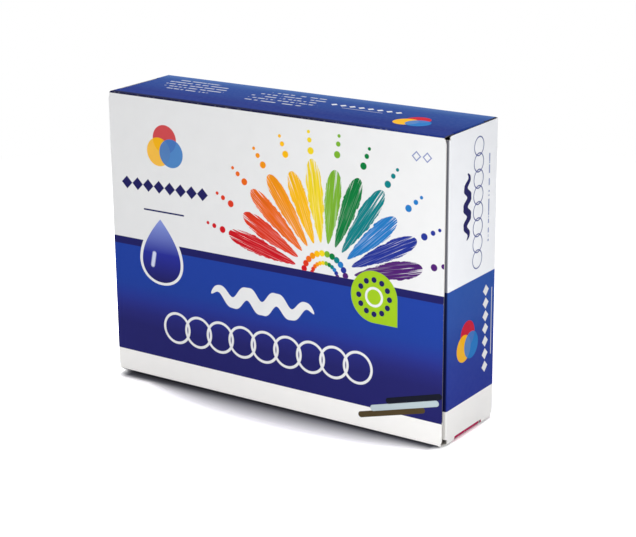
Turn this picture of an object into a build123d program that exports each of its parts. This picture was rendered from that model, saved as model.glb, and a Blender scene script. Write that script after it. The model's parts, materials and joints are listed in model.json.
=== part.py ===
from build123d import *

import math
import os

# A gouache paint box: a carton of printed board, closed by a tuck-in flap at each end, that holds
# jars of paint. The carton stands on its long side with the jars lying inside, lids to the front.
# Millimetres. The origin is under the middle of the box, X runs along the front, the front faces
# -Y and Z is up.

# Jars in the box
jar_columns = 4
jar_rows = 3
jar_gap = 0.3              # between neighbouring lids, and under the lowest jars
jar_end_room = 0.45        # between the outer lids and the dust flaps
jar_head_room = 3.7        # above the highest row
jar_back_gap = 0.1         # behind the jars' bases

# One jar, measured along its axis from its base
jar_body_diameter = 37.0
jar_body_length = 24.0
jar_shoulder_length = 1.0
jar_neck_step = 1.8        # from the body's side in to the neck's
jar_neck_length = 8.9
jar_wall = 1.1
jar_floor = 1.2
jar_base_chamfer = 0.9
thread_height = 0.3        # how far a thread bead stands out of its wall
thread_width = 1.2
thread_from_rim = 4.4      # from the rim to the middle of the neck's bead

# Paint in a jar
paint_headspace = 0.8      # from the paint up to where the wall turns in under the shoulder
paint_clearance = 0.05     # between the paint and the wall it wets

# One screw lid
lid_top = 1.2
lid_seat_gap = 0.15        # between the rim and the lid's underside
lid_skirt_clearance = 0.9  # between the neck and the skirt
lid_skirt_wall = 1.3
lid_shoulder_gap = 0.7     # between the skirt's end and the jar's shoulder
lid_recess_depth = 0.3
lid_recess_border = 2.2
rib_count = 48
rib_height = 0.3
rib_width = 1.1
rib_top_margin = 0.9
plug_length = 2.6
plug_wall = 0.8
plug_clearance = 0.3
bead_gap = 0.5             # between the neck's bead and the lid's bead, along the axis

# Carton board and its folds
board = 0.5
fold_radius = 0.9          # outside radius of the four long creases
crease_reach = 1.0         # from the top or the bottom to where its panels up the sides begin
sag_radius = 6.0           # of the bend where the bottom meets the table
bottom_sag = 2.1           # how far the bottom's middle hangs below its long creases
sag_run = 5.8              # from a long crease to where the bottom lies flat
flap_gap = 0.3             # between two boards that lie one behind the other at an end
crease_gap = 0.1           # between a panel's end and the flap that turns about it
tube_end_inset = 0.4       # the front panel's free edge behind the closure's outer face
glue_flap_width = 12.0
glue_flap_taper = 4.0
seam_height = 0.1          # from the bottom's crease up to the back's and the closures' cut edges

# End closures with their tuck tongues
closure_top_gap = 0.3      # from a closure's upper edge to the top's outer face
tuck_radius = 0.8          # outside radius of the fold between the closure and its tongue
tuck_slot = 2.2            # between the front panel and the tongue
tuck_to_lids = 0.45        # between the tongue and the lids behind it
tongue_length = 13.0
tongue_inset = 1.5         # the tongue's ends inside the closure's ends
tongue_corner = 8.0

# Dust flaps
dust_front_margin = 7.0    # from the front of the box to the flap's root
dust_back_margin = 9.0
dust_length = 18.0
dust_front_taper = 1.0
dust_back_taper = 5.4
dust_corner = 2.5

# Relief cut at the front panel's corners
nick_depth = 1.0
nick_top_length = 3.2
nick_bottom_length = 1.2

# What follows from them, round a jar
jar_neck_diameter = jar_body_diameter - 2 * jar_neck_step
lid_side_radius = jar_neck_diameter / 2 + lid_skirt_clearance + lid_skirt_wall
lid_diameter = 2 * (lid_side_radius + rib_height)
jar_space = max(lid_diameter, jar_body_diameter)
jar_pitch = jar_space + jar_gap
paint_depth = jar_body_length - jar_shoulder_length - paint_headspace - jar_floor

# Across the width
grid_half_width = (jar_columns * jar_pitch - jar_gap) / 2
dust_inner_x = grid_half_width + jar_end_room
dust_outer_x = dust_inner_x + board
closure_inner_x = dust_outer_x + flap_gap
half_width = closure_inner_x + board

# Through the depth
rim_length = jar_body_length + jar_shoulder_length + jar_neck_length
lid_inner_length = rim_length + lid_seat_gap
jar_total_length = lid_inner_length + lid_top
lid_front_depth = board + tuck_slot + board + tuck_to_lids
box_depth = lid_front_depth + jar_total_length + jar_back_gap + board + board
front_y = -box_depth / 2
back_y = box_depth / 2
tongue_outer_y = front_y + board + tuck_slot
tuck_center_x = half_width - tuck_radius
tuck_center_y = tongue_outer_y + tuck_radius
jar_base_y = back_y - 2 * board - jar_back_gap
bottom_back_y = back_y - board      # the glue flap on the bottom lies inside the back panel


def bottom_inner_z(crease_distance):
    """How high the bottom's inner face lies, at a distance in from either of its long creases."""
    slope = bottom_sag / sag_run
    return max(0, bottom_sag - slope * crease_distance) + board * math.hypot(1, slope)


# Up the height: the lowest jars clear the bottom at their lids' fronts and at their bases
jar_base_distance = bottom_back_y - jar_base_y + jar_base_chamfer
lowest_row_z = jar_gap + max(
    bottom_inner_z(lid_front_depth) + lid_diameter / 2,
    bottom_inner_z(jar_base_distance) + jar_body_diameter / 2,
)
box_height = lowest_row_z + (jar_rows - 1) * jar_pitch + jar_space / 2 + jar_head_room + board
closure_low = bottom_sag + seam_height
closure_high = box_height - closure_top_gap
tongue_low = closure_low + tongue_inset
tongue_high = closure_high - tongue_inset

# Points that the flaps turn about
closure_hinge = (half_width, back_y)
tongue_hinge = (tuck_center_x, tongue_outer_y + board)
dust_hinge = (dust_outer_x, box_height)

jar_places = [
    ((column - (jar_columns - 1) / 2) * jar_pitch, lowest_row_z + row * jar_pitch)
    for row in range(jar_rows)
    for column in range(jar_columns)
]


def block(x_range, y_range, z_range):
    """A box between three pairs of limits."""
    size = [high - low for low, high in (x_range, y_range, z_range)]
    middle = [(low + high) / 2 for low, high in (x_range, y_range, z_range)]
    return Pos(*middle) * Box(*size)


def wrapped_panel(sag, back_edge_y):
    """The bottom: one sheet with its long creases, notched for the roots of its dust flaps."""
    reach = dust_outer_x
    corners = [(front_y, sag + crease_reach), (front_y, sag)]
    radii = [fold_radius]
    if sag > 0:
        corners += [(front_y + sag_run, 0), (back_edge_y - sag_run, 0)]
        radii += [sag_radius, sag_radius]
    corners += [(back_edge_y, sag), (back_edge_y, sag + crease_reach)]
    radii += [fold_radius]
    outer_line = FilletPolyline(*corners, radius=radii)
    section = make_face(offset(outer_line, amount=board, side=Side.LEFT, closed=True))
    panel = extrude(Plane.YZ.offset(-reach) * section, amount=2 * reach)
    for end in (-1, 1):
        panel -= block(
            sorted((end * (dust_inner_x - crease_gap), end * (reach + crease_gap))),
            (front_y + dust_front_margin - crease_gap, back_y - dust_back_margin + crease_gap),
            (-crease_gap, sag + board + crease_gap),
        )
    return panel


def make_top_panel():
    """The top: the same sheet upside down, without a sag."""
    return Pos(0, 0, box_height) * mirror(wrapped_panel(0, back_y), about=Plane.XY)


def make_bottom_panel():
    """The bottom, which the jars press down on the table."""
    return wrapped_panel(bottom_sag, bottom_back_y)


def make_front_panel():
    """The front, with free edges at both ends and a relief cut at each corner."""
    reach = half_width - tube_end_inset
    low = bottom_sag + crease_reach
    high = box_height - crease_reach
    corner_points = [
        (reach - nick_depth, low),
        (reach, low + nick_bottom_length),
        (reach, high - nick_top_length),
        (reach - nick_depth, high),
    ]
    points = corner_points + [(-x, z) for x, z in reversed(corner_points)]
    outline = make_face(Polyline(*points, close=True))
    return extrude(Plane.XZ.offset(-front_y) * outline, amount=-board)


def make_back_panel():
    """The back, which carries the two closures and overlaps the glue flap."""
    reach = closure_inner_x - crease_gap
    return block((-reach, reach), (back_y - board, back_y), (closure_low, box_height - crease_reach))


def make_glue_flap():
    """The strip that turns up from the bottom and is glued inside the back panel."""
    reach = dust_inner_x - crease_gap
    low = bottom_sag + crease_reach
    high = low + glue_flap_width
    points = [(-reach, low), (reach, low), (reach - glue_flap_taper, high), (glue_flap_taper - reach, high)]
    outline = make_face(Polyline(*points, close=True))
    return extrude(Plane.XZ.offset(-bottom_back_y) * outline, amount=board)


def make_closure():
    """The right-hand closure: a flat flap and the round fold that turns it into its tongue."""
    side = (half_width - board, half_width)
    flat = block(side, (tuck_center_y, back_y), (closure_low, closure_high))
    ring = Circle(tuck_radius) - Circle(tuck_radius - board)
    quarter = Pos(tuck_radius / 2, -tuck_radius / 2) * Rectangle(tuck_radius, tuck_radius)
    fold = extrude(ring & quarter, amount=tongue_high - tongue_low)
    return flat + Pos(tuck_center_x, tuck_center_y, tongue_low) * fold


def make_tongue():
    """The right-hand tongue, which tucks in behind the front panel."""
    tip_x = tuck_center_x - tongue_length
    depth = (tongue_outer_y, tongue_outer_y + board)
    sheet = block((tip_x, tuck_center_x), depth, (tongue_low, tongue_high))
    corners = sheet.edges().filter_by(Axis.Y).group_by(Axis.X)[0]
    return fillet(corners, min(tongue_corner, 0.9 * tongue_length))


def make_dust_flap():
    """The upper right-hand dust flap, hanging from the top panel behind the closure."""
    root_front = front_y + dust_front_margin
    root_back = back_y - dust_back_margin
    tip_z = box_height - dust_length
    points = [
        (root_front, box_height),
        (root_back, box_height),
        (root_back - dust_back_taper, tip_z),
        (root_front + dust_front_taper, tip_z),
    ]
    outline = make_face(Polyline(*points, close=True))
    flap = extrude(Plane.YZ.offset(dust_inner_x) * outline, amount=board)
    corners = flap.edges().filter_by(Axis.X).group_by(Axis.Z)[0]
    return fillet(corners, dust_corner)


def turned(points):
    """A solid of revolution about Y from (radius, distance from the jar's base) points."""
    outline = make_face(Polyline(*[(radius, jar_base_y - s) for radius, s in points], close=True))
    return revolve(outline, axis=Axis.Y)


def make_jar():
    """A straight-sided jar with a wide threaded neck, its base to the back of the box."""
    body = jar_body_diameter / 2
    neck = jar_neck_diameter / 2
    shoulder = jar_body_length + jar_shoulder_length
    bead = rim_length - thread_from_rim
    return turned(
        [
            (0, 0),
            (body - jar_base_chamfer, 0),
            (body, jar_base_chamfer),
            (body, jar_body_length),
            (neck, shoulder),
            (neck, bead - thread_width / 2),
            (neck + thread_height, bead),
            (neck, bead + thread_width / 2),
            (neck, rim_length),
            (neck - jar_wall, rim_length),
            (neck - jar_wall, jar_body_length),
            (body - jar_wall, jar_body_length - jar_shoulder_length),
            (body - jar_wall, jar_floor),
            (0, jar_floor),
        ]
    )


def make_paint():
    """The paint that fills a jar to just under its shoulder."""
    radius = jar_body_diameter / 2 - jar_wall - paint_clearance
    top = jar_floor + paint_depth
    return turned([(0, jar_floor), (radius, jar_floor), (radius, top), (0, top)])


def make_lid():
    """A screw lid with grip ribs, a thread bead under the neck's bead and a plug inside the mouth."""
    outer = lid_side_radius
    inner = jar_neck_diameter / 2 + lid_skirt_clearance
    skirt_end = jar_body_length + jar_shoulder_length + lid_shoulder_gap
    neck_bead = rim_length - thread_from_rim
    bead = neck_bead - thread_width - bead_gap
    bead_reach = jar_neck_diameter / 2 + thread_height / 2
    plug_outer = jar_neck_diameter / 2 - jar_wall - plug_clearance
    top = jar_total_length
    recess = outer - lid_recess_border
    lid = turned(
        [
            (0, lid_inner_length),
            (plug_outer - plug_wall, lid_inner_length),
            (plug_outer - plug_wall, lid_inner_length - plug_length),
            (plug_outer, lid_inner_length - plug_length),
            (plug_outer, lid_inner_length),
            (inner, lid_inner_length),
            (inner, bead + thread_width / 2),
            (bead_reach, bead),
            (inner, bead - thread_width / 2),
            (inner, skirt_end),
            (outer, skirt_end),
            (outer, top - lid_recess_depth),
            (outer - lid_recess_depth, top),
            (recess, top),
            (recess - lid_recess_depth, top - lid_recess_depth),
            (0, top - lid_recess_depth),
        ]
    )
    return lid + grip_ribs(outer, skirt_end)


def grip_ribs(radius, skirt_end):
    """The ribs round the skirt, as one ring of rounded bars sunk into it by their own height."""
    length = jar_total_length - rib_top_margin - skirt_end
    bar = Pos(radius, 0) * RectangleRounded(2 * rib_height, rib_width, 0.9 * rib_height)
    bars = Sketch() + [Rot(0, 0, 360 * step / rib_count) * bar for step in range(rib_count)]
    return extrude(Plane.XZ.offset(skirt_end - jar_base_y) * bars, amount=length)


def make_parts():
    """Every node of the box by name."""
    closure = make_closure()
    tongue = make_tongue()
    top_dust = make_dust_flap()
    bottom_dust = Pos(0, 0, box_height) * mirror(top_dust, about=Plane.XY)
    parts = {
        "front_panel": make_front_panel(),
        "top_panel": make_top_panel(),
        "back_panel": make_back_panel(),
        "bottom_panel": make_bottom_panel(),
        "glue_flap": make_glue_flap(),
        "right_closure": closure,
        "right_tongue": tongue,
        "right_top_dust_flap": top_dust,
        "right_bottom_dust_flap": bottom_dust,
        "left_closure": mirror(closure, about=Plane.YZ),
        "left_tongue": mirror(tongue, about=Plane.YZ),
        "left_top_dust_flap": mirror(top_dust, about=Plane.YZ),
        "left_bottom_dust_flap": mirror(bottom_dust, about=Plane.YZ),
    }
    jar = make_jar()
    paint = make_paint()
    lid = make_lid()
    for number, (x, z) in enumerate(jar_places, start=1):
        parts[f"jar_{number:02d}"] = Pos(x, 0, z) * jar
        parts[f"paint_{number:02d}"] = Pos(x, 0, z) * paint
        parts[f"lid_{number:02d}"] = Pos(x, 0, z) * lid
    return parts


def main():
    os.makedirs("parts", exist_ok=True)
    parts = make_parts()
    for name, solid in parts.items():
        solid.label = name
        export_step(solid, f"parts/{name}.step")
    print(f"{len(parts)} parts, box {2 * half_width:.2f} x {box_depth:.2f} x {box_height:.2f} mm")
    paint_radius = jar_body_diameter / 2 - jar_wall - paint_clearance
    print(f"paint in a jar {math.pi * paint_radius**2 * paint_depth / 1000:.1f} ml")
    hinges = {"closure": closure_hinge, "tongue": tongue_hinge, "dust flap": dust_hinge}
    for flap, (x, other) in hinges.items():
        print(f"the right-hand {flap} turns about x {x:.2f}, {'z' if 'dust' in flap else 'y'} {other:.2f}")


main()
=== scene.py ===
# %% [markdown]
# # A gouache paint box
# The real object is a carton of printed board that stands on its long side. Twelve jars of paint lie
# in it with their lids to the front. The imported model gives every piece its place, and this script
# gives each one its finish. The board flaps are built again here with round creases, as real board
# bends at its creases while a rigid part can only turn about them.

# %% Load the imported model
import json
import math

import bmesh
import bpy
from mathutils import Matrix, Vector

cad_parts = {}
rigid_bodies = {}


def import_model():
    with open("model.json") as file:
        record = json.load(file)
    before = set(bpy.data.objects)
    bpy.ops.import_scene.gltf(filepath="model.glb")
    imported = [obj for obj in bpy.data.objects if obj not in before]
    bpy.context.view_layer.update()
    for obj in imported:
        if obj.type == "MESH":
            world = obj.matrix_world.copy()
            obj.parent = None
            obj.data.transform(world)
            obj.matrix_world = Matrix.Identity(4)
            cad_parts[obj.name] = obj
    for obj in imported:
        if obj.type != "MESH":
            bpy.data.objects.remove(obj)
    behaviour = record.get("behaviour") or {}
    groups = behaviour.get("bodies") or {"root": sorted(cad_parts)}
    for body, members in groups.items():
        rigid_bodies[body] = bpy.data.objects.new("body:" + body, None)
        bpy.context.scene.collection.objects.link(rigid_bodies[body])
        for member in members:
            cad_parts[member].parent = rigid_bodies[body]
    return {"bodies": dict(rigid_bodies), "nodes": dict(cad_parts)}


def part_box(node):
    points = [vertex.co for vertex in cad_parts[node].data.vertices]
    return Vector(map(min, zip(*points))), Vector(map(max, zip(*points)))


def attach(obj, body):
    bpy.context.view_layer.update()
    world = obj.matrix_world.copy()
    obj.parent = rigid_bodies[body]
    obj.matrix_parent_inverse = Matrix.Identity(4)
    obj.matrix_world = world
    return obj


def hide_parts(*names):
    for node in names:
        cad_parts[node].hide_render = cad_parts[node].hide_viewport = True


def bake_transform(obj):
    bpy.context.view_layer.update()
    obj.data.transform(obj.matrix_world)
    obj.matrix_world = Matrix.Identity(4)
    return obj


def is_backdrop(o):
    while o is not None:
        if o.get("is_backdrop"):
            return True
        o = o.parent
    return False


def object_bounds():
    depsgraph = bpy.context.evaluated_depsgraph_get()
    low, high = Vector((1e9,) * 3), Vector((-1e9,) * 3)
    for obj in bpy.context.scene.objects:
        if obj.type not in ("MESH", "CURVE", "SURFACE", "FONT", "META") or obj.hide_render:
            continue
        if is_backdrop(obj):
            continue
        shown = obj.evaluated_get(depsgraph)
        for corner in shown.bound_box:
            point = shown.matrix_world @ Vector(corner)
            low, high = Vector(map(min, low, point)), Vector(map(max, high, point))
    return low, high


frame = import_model()
nodes = frame["nodes"]
cad_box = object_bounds()
print("the model holds", len(nodes), "nodes and", len(frame["bodies"]), "bodies")

# %% [markdown]
# ## Measures
# The print of a carton is drawn in millimetres, so the board is modelled in millimetres too and is
# scaled to metres when its mesh is done. The panels' limits are read from the model. Only what a
# panel's limits don't tell, such as the radius of a crease, is written here again.

# %% Limits of the board pieces
MM = 0.001


def span(node):
    """The lowest and highest corner of a node, in millimetres."""
    low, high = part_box(node)
    return low / MM, high / MM


front_low, front_high = span("front_panel")
top_low, top_high = span("top_panel")
back_low, back_high = span("back_panel")
bottom_low, bottom_high = span("bottom_panel")
glue_low, glue_high = span("glue_flap")
closure_low, closure_high = span("right_closure")
tongue_low, tongue_high = span("right_tongue")
dust_low, dust_high = span("right_top_dust_flap")

board = front_high.y - front_low.y
height = top_high.z
crease_reach = height - front_high.z
bottom_sag = front_low.z - crease_reach
tuck_fold = closure_high.x - tongue_high.x
root_inset = 0.7   # from a dust flap's inner face to the root of its crease in the tube
root_x = dust_low.x - root_inset
fold = 0.9         # outside radius of a crease
sag_run = 5.8      # from a long crease to where the bottom lies flat
sag_radius = 6.0   # of the bend where the bottom meets the table
middle = Vector((0, 0, height / 2))
box_depth = back_high.y - front_low.y
print(f"box {2 * closure_high.x:.1f} x {box_depth:.1f} x {height:.1f} mm, board {board:.2f} mm")
print(f"the bottom's creases lie {bottom_sag:.1f} mm above the table")

# %% [markdown]
# ## The camera
# A photograph of a box fixes its own camera: the corners of the front, top and end faces leave only
# one place from which they look like that. This camera was solved from seven corners. It stands to
# the right of the box and a little above it, and its lens is long, so the edges run nearly parallel.

# %% Camera at the photograph's angle
camera_azimuth = math.radians(33.64)
camera_height = math.radians(17.21)
camera_roll = math.radians(-0.48)
camera_distance = 740.8
camera_right = -8.08
camera_up = 7.44
aim_depth = 60
aim = Vector((0, 0, height - aim_depth))

back = Vector(
    (
        math.sin(camera_azimuth) * math.cos(camera_height),
        -math.cos(camera_azimuth) * math.cos(camera_height),
        math.sin(camera_height),
    )
)
right = (-back).cross(Vector((0, 0, 1))).normalized()
up = right.cross(-back)
turned_right = right * math.cos(camera_roll) + up * math.sin(camera_roll)
turned_up = up * math.cos(camera_roll) - right * math.sin(camera_roll)


def add_object(name, data):
    """A new object at the origin of the scene."""
    made = bpy.data.objects.new(name, data)
    bpy.context.scene.collection.objects.link(made)
    return made


camera_data = bpy.data.cameras.new("camera")
camera_data.lens = 104.4
camera_data.sensor_width = 36
camera = add_object("camera", camera_data)
place = aim + back * camera_distance - turned_right * camera_right - turned_up * camera_up
turn_to_view = Matrix((turned_right, turned_up, back)).transposed().to_4x4()
camera.matrix_world = Matrix.Translation(place * MM) @ turn_to_view
bpy.context.scene.camera = camera
bpy.context.scene.view_settings.view_transform = "Standard"
print("camera at", [round(value, 3) for value in camera.location])

# %% [markdown]
# ## Sums in a shader
# A shader is a graph of nodes, and a pattern of any size needs hundreds of them. Drawing a shape is
# mostly arithmetic, so it is easier to read as arithmetic. Reading wraps one output socket, and a sum
# on it adds the Math nodes that work it out. Bench makes every other node. It serves a material and
# the world alike.

# %% A wrapped socket
class Reading:
    """A number, colour or vector that a node gives."""

    def __init__(self, bench, socket):
        self.bench = bench
        self.socket = socket

    def output(self, name):
        """Another output of the same node."""
        return Reading(self.bench, self.socket.node.outputs[name])

    def maths(self, operation, *others):
        return self.bench.node("Math", {"operation": operation}, dict(enumerate((self, *others))))

    def __add__(self, other):
        return self.maths("ADD", other)

    def __sub__(self, other):
        return self.maths("SUBTRACT", other)

    def __mul__(self, other):
        return self.maths("MULTIPLY", other)

    def __truediv__(self, other):
        return self.maths("DIVIDE", other)

    def __pow__(self, other):
        return self.maths("POWER", other)

    def __rsub__(self, other):
        return self * -1 + other

    def __abs__(self):
        return self.maths("ABSOLUTE")

    def __round__(self):
        return self.maths("ROUND")

    __radd__ = __add__
    __rmul__ = __mul__

    def least(self, other):
        return self.maths("MINIMUM", other)

    def most(self, other):
        return self.maths("MAXIMUM", other)

    def held(self, low, high):
        """The number, kept between two limits."""
        return self.most(low).least(high)


print("a reading takes + - * / ** abs and round, and can be held between limits")

# %% A bench to make nodes at
class Bench:
    """A material or a world, and the nodes that make it."""

    def __init__(self, owner):
        owner.use_nodes = True
        self.owner = owner
        self.tree = owner.node_tree
        self.tree.nodes.clear()

    def node(self, kind, settings, inputs):
        """Adds a node, sets it, fills its sockets with values or links and gives its first output."""
        made = self.tree.nodes.new("ShaderNode" + kind)
        for name, value in settings.items():
            if name == "stops":
                self.set_stops(made.color_ramp, value)
            else:
                setattr(made, name, value)
        for name, value in inputs.items():
            if isinstance(value, Reading):
                self.tree.links.new(value.socket, made.inputs[name])
            else:
                made.inputs[name].default_value = value
        shown = [socket for socket in made.outputs if socket.enabled]
        return Reading(self, shown[0]) if shown else None

    def set_stops(self, ramp, stops):
        while len(ramp.elements) < len(stops):
            ramp.elements.new(1.0)
        for element, (position, colour) in zip(ramp.elements, stops):
            element.position = position
            element.color = colour

    def lay(self, under, over, mask):
        """One colour over another, where the mask is 1."""
        return self.node("Mix", {"data_type": "RGBA"}, {"Factor": mask, 6: under, 7: over})

    def ramp(self, number, stops):
        return self.node("ValToRGB", {"stops": stops}, {"Fac": number})

    def between(self, number, low, high, at_low=0.0, at_high=1.0):
        """A number turned from one range to another, and held at the ends."""
        limits = {"From Min": low, "From Max": high, "To Min": at_low, "To Max": at_high}
        return self.node("MapRange", {}, {"Value": number, **limits})

    def inside(self, distance, softness=0.1):
        """A mask that is 1 where a distance is below 0, with an edge as soft as printer's ink."""
        return self.between(distance, -softness, softness, 1.0, 0.0)

    def stamp(self, colour, tone, distance, strength=1.0, softness=0.1):
        """Prints a tone over a colour where a distance is below 0, as strongly as asked."""
        return self.lay(colour, tone, self.between(distance, -softness, softness, strength, 0.0))

    def place(self, source, scale):
        """Where a point is, in millimetres: its vector, x, y and z."""
        spot = self.node("VectorMath", {"operation": "SCALE"}, {0: source, "Scale": scale})
        split = self.node("SeparateXYZ", {}, {0: spot})
        return spot, split, split.output("Y"), split.output("Z")

    def own_place(self):
        """Where a point of the piece is, as place gives it."""
        return self.place(self.node("TexCoord", {}, {}).output("Object"), 1 / MM)

    def noise(self, spot, scale, detail=2.0):
        return self.node("TexNoise", {}, {"Vector": spot, "Scale": scale, "Detail": detail})

    def clouds(self, spot, scale, detail, low, high):
        """Noise spread from one number to another. Nearly all of its own values lie in its middle."""
        return self.between(self.noise(spot, scale, detail), 0.3, 0.7, low, high)

    def point(self, x, y, z=0.0):
        return self.node("CombineXYZ", {}, {0: x, 1: y, 2: z})

    def seen(self):
        """1 for what the camera sees, straight or in a reflection, and 0 for light on its way."""
        path = self.node("LightPath", {}, {})
        return path.most(path.output("Is Glossy Ray")).most(path.output("Is Transmission Ray"))

    def finish(self, surface, output="OutputMaterial"):
        self.node(output, {}, {"Surface": surface})
        return self.owner


def ink(red, green, blue):
    """A screen colour from 0 to 255 as the linear colour that a shader wants, by the sRGB curve."""
    shares = [value / 255 for value in (red, green, blue)]
    linear = [s / 12.92 if s <= 0.04045 else ((s + 0.055) / 1.055) ** 2.4 for s in shares]
    return (*linear, 1.0)


print("pure white is", ink(255, 255, 255), "and the carton's blue is", ink(40, 62, 150))

# %% [markdown]
# ## Shapes to print with
# A shape in a shader is a signed distance: below zero inside it, above zero outside, in millimetres.
# A disc, a ring and a rounded stripe are one line each. A row of marks costs no more than one mark,
# because every point only asks how far the nearest of them is.

# %% Distances to simple shapes
def reach(across, along):
    """How far a point is from the origin of two numbers."""
    return (across * across + along * along) ** 0.5


def disc(x, z, centre, radius):
    return reach(x - centre[0], z - centre[1]) - radius


def outline(distance, width):
    """A line of a given width along a shape's edge."""
    return abs(distance) - width / 2


def stripe(x, z, start, end, half_width):
    """A straight stripe with round ends."""
    run = Vector(end) - Vector(start)
    across = x - start[0]
    along = z - start[1]
    share = ((across * run.x + along * run.y) / run.length_squared).held(0.0, 1.0)
    return reach(across - share * run.x, along - share * run.y) - half_width


def nearest(number, first, pitch, count):
    """The offset from the nearest of a row of marks, and that mark's number."""
    mark = round((number - first) / pitch).held(0, count - 1)
    return number - first - mark * pitch, mark


def diamonds(along, across, row):
    """A row of square marks that stand on their corners."""
    offset, number = nearest(along, row["first"], row["pitch"], row["count"])
    return (abs(offset) + abs(across - row["level"]) - row["radius"]) / math.sqrt(2)


def chain(along, across, row):
    """A row of thin rings, each linked with the next: even and odd ones are two rows of their own."""
    links = []
    for parity in (0, 1):
        first = row["first"] + parity * row["pitch"]
        offset, number = nearest(along, first, 2 * row["pitch"], (row["count"] + 1 - parity) // 2)
        links.append(outline(reach(offset, across - row["level"]) - row["radius"], row["width"]))
    return links[0].least(links[1])


def drop(x, z, foot, length, half_width):
    """A falling drop with its tip up: it widens as the root of the height and closes at its tip."""
    fullest = 2.6  # one over the greatest value of that curve
    share = ((z - foot[1]) / length).held(0.0, 1.0)
    width = (share ** 0.5) * (1.0 - share) * (half_width * fullest)
    return (abs(x - foot[0]) - width).most(abs(z - foot[1] - length / 2) - length / 2)


def wave(along, across, start, end, level, swing, waves, thickness):
    """A brush stroke that swings about a level and thins out to both of its ends."""
    share = ((along - start) / (end - start)).held(0.0, 1.0)
    turn = share * (2 * math.pi * waves)
    steepness = 2 * math.pi * waves * swing / (end - start)
    slope = turn.maths("COSINE") * steepness
    offset = abs(across - level - turn.maths("SINE") * swing) / ((slope * slope + 1) ** 0.5)
    width = ((share * (1.0 - share)) ** 0.5) * thickness
    return (offset - width).most(abs(along - (start + end) / 2) - (end - start) / 2)


print("shapes ready: disc, outline, stripe, diamonds, chain, drop and wave")

# %% [markdown]
# ## Colours of the print
# The carton is white above and blue below, with a white foot. The blues darken towards the foot, as a
# printed gradient. Twelve colours run once round the colour wheel in the front's picture. The paints
# themselves are the usual twelve of such a box.

# %% Colours
paper = ink(234, 234, 233)
# painted light: the ends and the back use a brighter copy of the same board's white than the front
brightened_end_paper = ink(252, 253, 255)
foot_white = ink(252, 250, 246)
navy = ink(36, 34, 92)
rim_navy = ink(34, 34, 96)
line_navy = ink(92, 100, 150)
pale_navy = ink(128, 140, 186)
# painted shade: this navy is laid only where shade falls, in the slit at each closure's fold, along the
# top's front crease, on the bottom's slope under the front and on cut edges in narrow gaps
painted_shade_navy = ink(14, 16, 56)
magenta = ink(190, 40, 92)
grey_board = ink(214, 211, 205)
edge_board = ink(226, 224, 219)
badge_green = ink(160, 200, 36)
drop_blue = ink(44, 50, 150)
drop_light = ink(140, 156, 220)
bristle_brown = ink(82, 68, 44)
metal_grey = ink(190, 204, 208)
handle_black = ink(26, 28, 40)

wheel_colours = [
    ink(205, 26, 36),
    ink(220, 58, 32),
    ink(234, 104, 26),
    ink(242, 148, 20),
    ink(248, 186, 20),
    ink(240, 212, 40),
    ink(120, 176, 48),
    ink(14, 122, 60),
    ink(18, 126, 130),
    ink(40, 122, 192),
    ink(40, 54, 146),
    ink(80, 34, 110),
]
paint_colours = {
    "white": ink(240, 240, 238),
    "lemon": ink(244, 216, 36),
    "ochre": ink(206, 148, 44),
    "orange": ink(240, 118, 24),
    "scarlet": ink(212, 34, 34),
    "crimson": ink(160, 20, 60),
    "violet": ink(88, 44, 130),
    "ultramarine": ink(30, 50, 150),
    "sky_blue": ink(60, 150, 210),
    "emerald": ink(12, 124, 78),
    "brown": ink(104, 58, 30),
    "black": ink(30, 30, 32),
}
print(len(wheel_colours), "colours in the print,", len(paint_colours), "paints in the box")

# %% [markdown]
# ## Colour blocks
# Every upright face has the same blocks: white, a blue band and a white foot. The print hangs from the
# top crease, so places on it are given as a depth below the top. The front's band has a darker rim
# along its upper edge, and the foot is taller on the ends than on the front.

# %% Depths of the blocks and the blue band
front_band_depth, front_foot_depth = 60.6, 110.8
end_band_depth, end_foot_depth = 59.9, 107.4
rim_height = 3.1
foot_tilt = 0.0095

front_blues = [
    (0.0, ink(36, 66, 158)),
    (0.32, ink(35, 65, 155)),
    (0.40, ink(36, 64, 152)),
    (0.48, ink(40, 58, 146)),
    (0.56, ink(42, 50, 132)),
    (0.64, ink(41, 43, 116)),
    (0.74, ink(38, 38, 103)),
]
end_blues = [
    (0.0, ink(48, 86, 166)),
    (0.30, ink(46, 80, 160)),
    (0.44, ink(42, 70, 151)),
    (0.66, ink(41, 60, 147)),
    (0.95, ink(38, 53, 141)),
]


def at(across, depth):
    """A place on an upright face, from its distance off the middle and its depth below the top."""
    return across, height - depth


def blocks(b, z, foot_z, white, band_depth, foot_depth, blues):
    """White over a blue band over a white foot, whose upper edge may be tilted."""
    share = (height - band_depth - z) / (foot_depth - band_depth)
    colour = b.stamp(white, b.ramp(share, blues), z - height + band_depth)
    return b.stamp(colour, foot_white, foot_z - height + foot_depth)


def even_stops(colours):
    """A list of colours, spread evenly over a ramp."""
    return [(number / (len(colours) - 1), colour) for number, colour in enumerate(colours)]


def three_discs(b, colour, x, z, centre, radius):
    """A mark of three overlapping discs: red above, yellow and blue below it."""
    spread, strength = 0.62 * radius, 0.92
    for number, tone in enumerate((wheel_colours[0], wheel_colours[4], wheel_colours[9])):
        angle = math.radians(90 + 120 * number)
        spot = (centre[0] + spread * math.cos(angle), centre[1] + spread * math.sin(angle))
        colour = b.stamp(colour, tone, disc(x, z, spot, radius), strength)
    return colour


band_height = front_foot_depth - front_band_depth
print(f"front band {band_height:.1f} mm high, foot {height - front_foot_depth:.1f} mm")

# %% [markdown]
# ## The front's picture
# The middle of the front shows twelve brush dabs spread like a fan, one for each colour of the wheel,
# with round drops beyond and within each. In polar coordinates a fan is only a row: the angle chooses
# the dab and the radius runs along it. Noise drawn out along each dab gives it the streaks of a bristle
# brush.

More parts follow.
